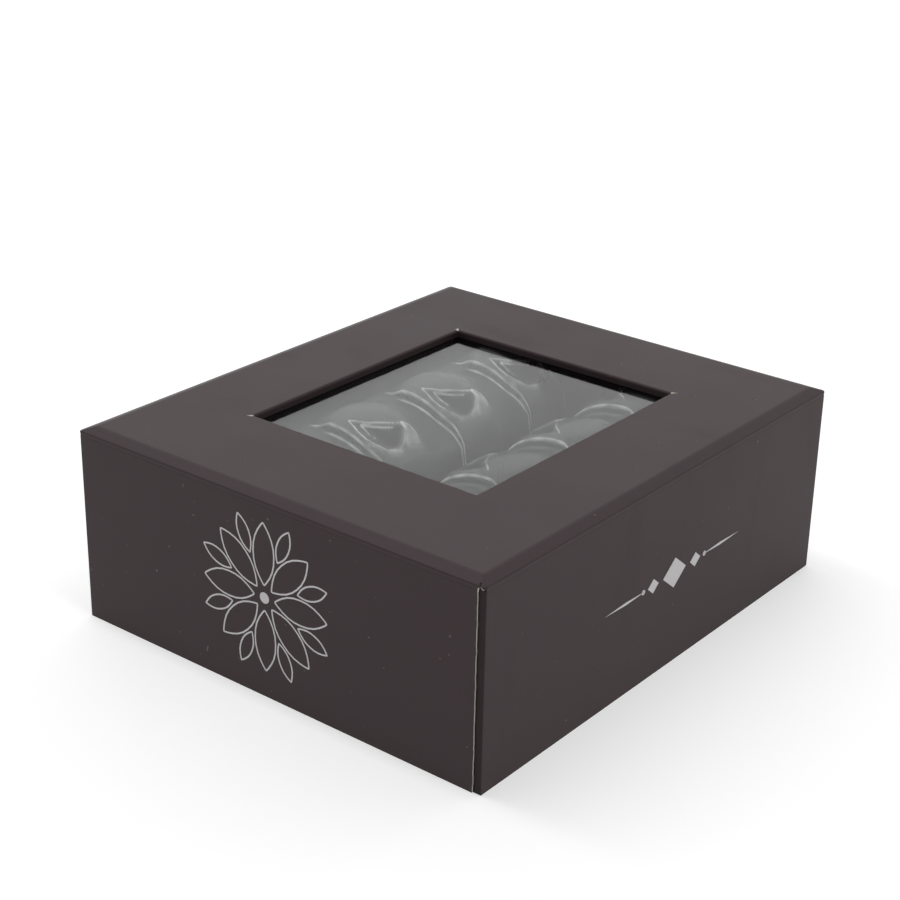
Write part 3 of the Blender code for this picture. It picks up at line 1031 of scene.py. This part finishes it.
class BOX_OT_stage(bpy.types.Operator):
    """Sets up the floor, the white surroundings, the softbox and the camera"""

    bl_idname = "macaron_box.stage"
    bl_label = "Studio"

    def execute(self, context):
        studio = context.scene.box_studio
        select_none()
        bpy.ops.mesh.primitive_plane_add(size=14.0, location=(0, 0, -0.05 * MM))
        floor = settle("floor", glowing_floor(studio))

        world = bpy.data.worlds.new("white_surroundings")
        context.scene.world = world
        world.use_nodes = True
        tree = world.node_tree
        sky = tree.nodes["Background"]
        sky.inputs["Color"].default_value = (1.0, 1.0, 1.0, 1.0)
        toward = tree.nodes.new("ShaderNodeTexCoord")
        facing = tree.nodes.new("ShaderNodeVectorMath")
        facing.operation = "DOT_PRODUCT"
        facing.inputs[1].default_value = (math.sin(studio.heading), math.cos(studio.heading), 0.0)
        tree.links.new(toward.outputs["Generated"], facing.inputs[0])
        fade = soft_range(tree, facing.outputs["Value"], -0.7, 0.8, studio.sky_front, studio.sky_back)
        height = tree.nodes.new("ShaderNodeSeparateXYZ")
        tree.links.new(toward.outputs["Generated"], height.inputs[0])
        dim = soft_range(tree, height.outputs["Z"], 0.45, 0.80, 1.0, studio.sky_high)
        both = tree.nodes.new("ShaderNodeMath")
        both.operation = "MULTIPLY"
        tree.links.new(fade, both.inputs[0])
        tree.links.new(dim, both.inputs[1])
        tree.links.new(both.outputs[0], sky.inputs["Strength"])

        soft_light("overhead_softbox", (-0.10, 0.10, 1.30), (-0.10, 0.10, 0.0), 0.25, 2.2, studio.key)

        lens = bpy.data.cameras.new("camera")
        lens.lens = studio.lens
        lens.sensor_width = 36.0
        camera = bpy.data.objects.new("camera", lens)
        context.scene.collection.objects.link(camera)
        turn = Matrix.Rotation(-studio.heading, 4, "Z")
        tip = Matrix.Rotation(math.pi / 2 - studio.pitch, 4, "X")
        lean = Matrix.Rotation(studio.roll, 4, "Z")
        camera.matrix_world = Matrix.Translation(studio.spot) @ turn @ tip @ lean
        context.scene.camera = camera
        context.scene.view_settings.view_transform = "Standard"
        return {"FINISHED"}


PIECES = (BOX_OT_cover, BOX_OT_edges, BOX_OT_base, BOX_OT_film, BOX_OT_tray, BOX_OT_ornaments, BOX_OT_stage)
GROUPS = {"box_carton": CartonSizes, "box_tray": TraySizes, "box_finishes": BoxFinishes,
          "box_studio": BoxStudio}


class VIEW3D_PT_macaron_box(bpy.types.Panel):
    """Lists the pieces of the box in the 3D view's sidebar"""

    bl_label = "Macaron Box"
    bl_idname = "VIEW3D_PT_macaron_box"
    bl_space_type = "VIEW_3D"
    bl_region_type = "UI"
    bl_category = "Macaron Box"

    def draw(self, context):
        for piece in PIECES:
            self.layout.operator(piece.bl_idname)


def register():
    for group in (*GROUPS.values(), *PIECES, VIEW3D_PT_macaron_box):
        bpy.utils.register_class(group)
    for name, group in GROUPS.items():
        setattr(bpy.types.Scene, name, bpy.props.PointerProperty(type=group))


def unregister():
    for name in GROUPS:
        delattr(bpy.types.Scene, name)
    for group in (VIEW3D_PT_macaron_box, *reversed(PIECES), *reversed(GROUPS.values())):
        bpy.utils.unregister_class(group)


def main():
    register()
    bpy.ops.macaron_box.cover()
    bpy.ops.macaron_box.edges()
    bpy.ops.macaron_box.base()
    bpy.ops.macaron_box.film()
    bpy.ops.macaron_box.tray()
    bpy.ops.macaron_box.ornaments()
    bpy.ops.macaron_box.stage()


if __name__ == "__main__":
    main()
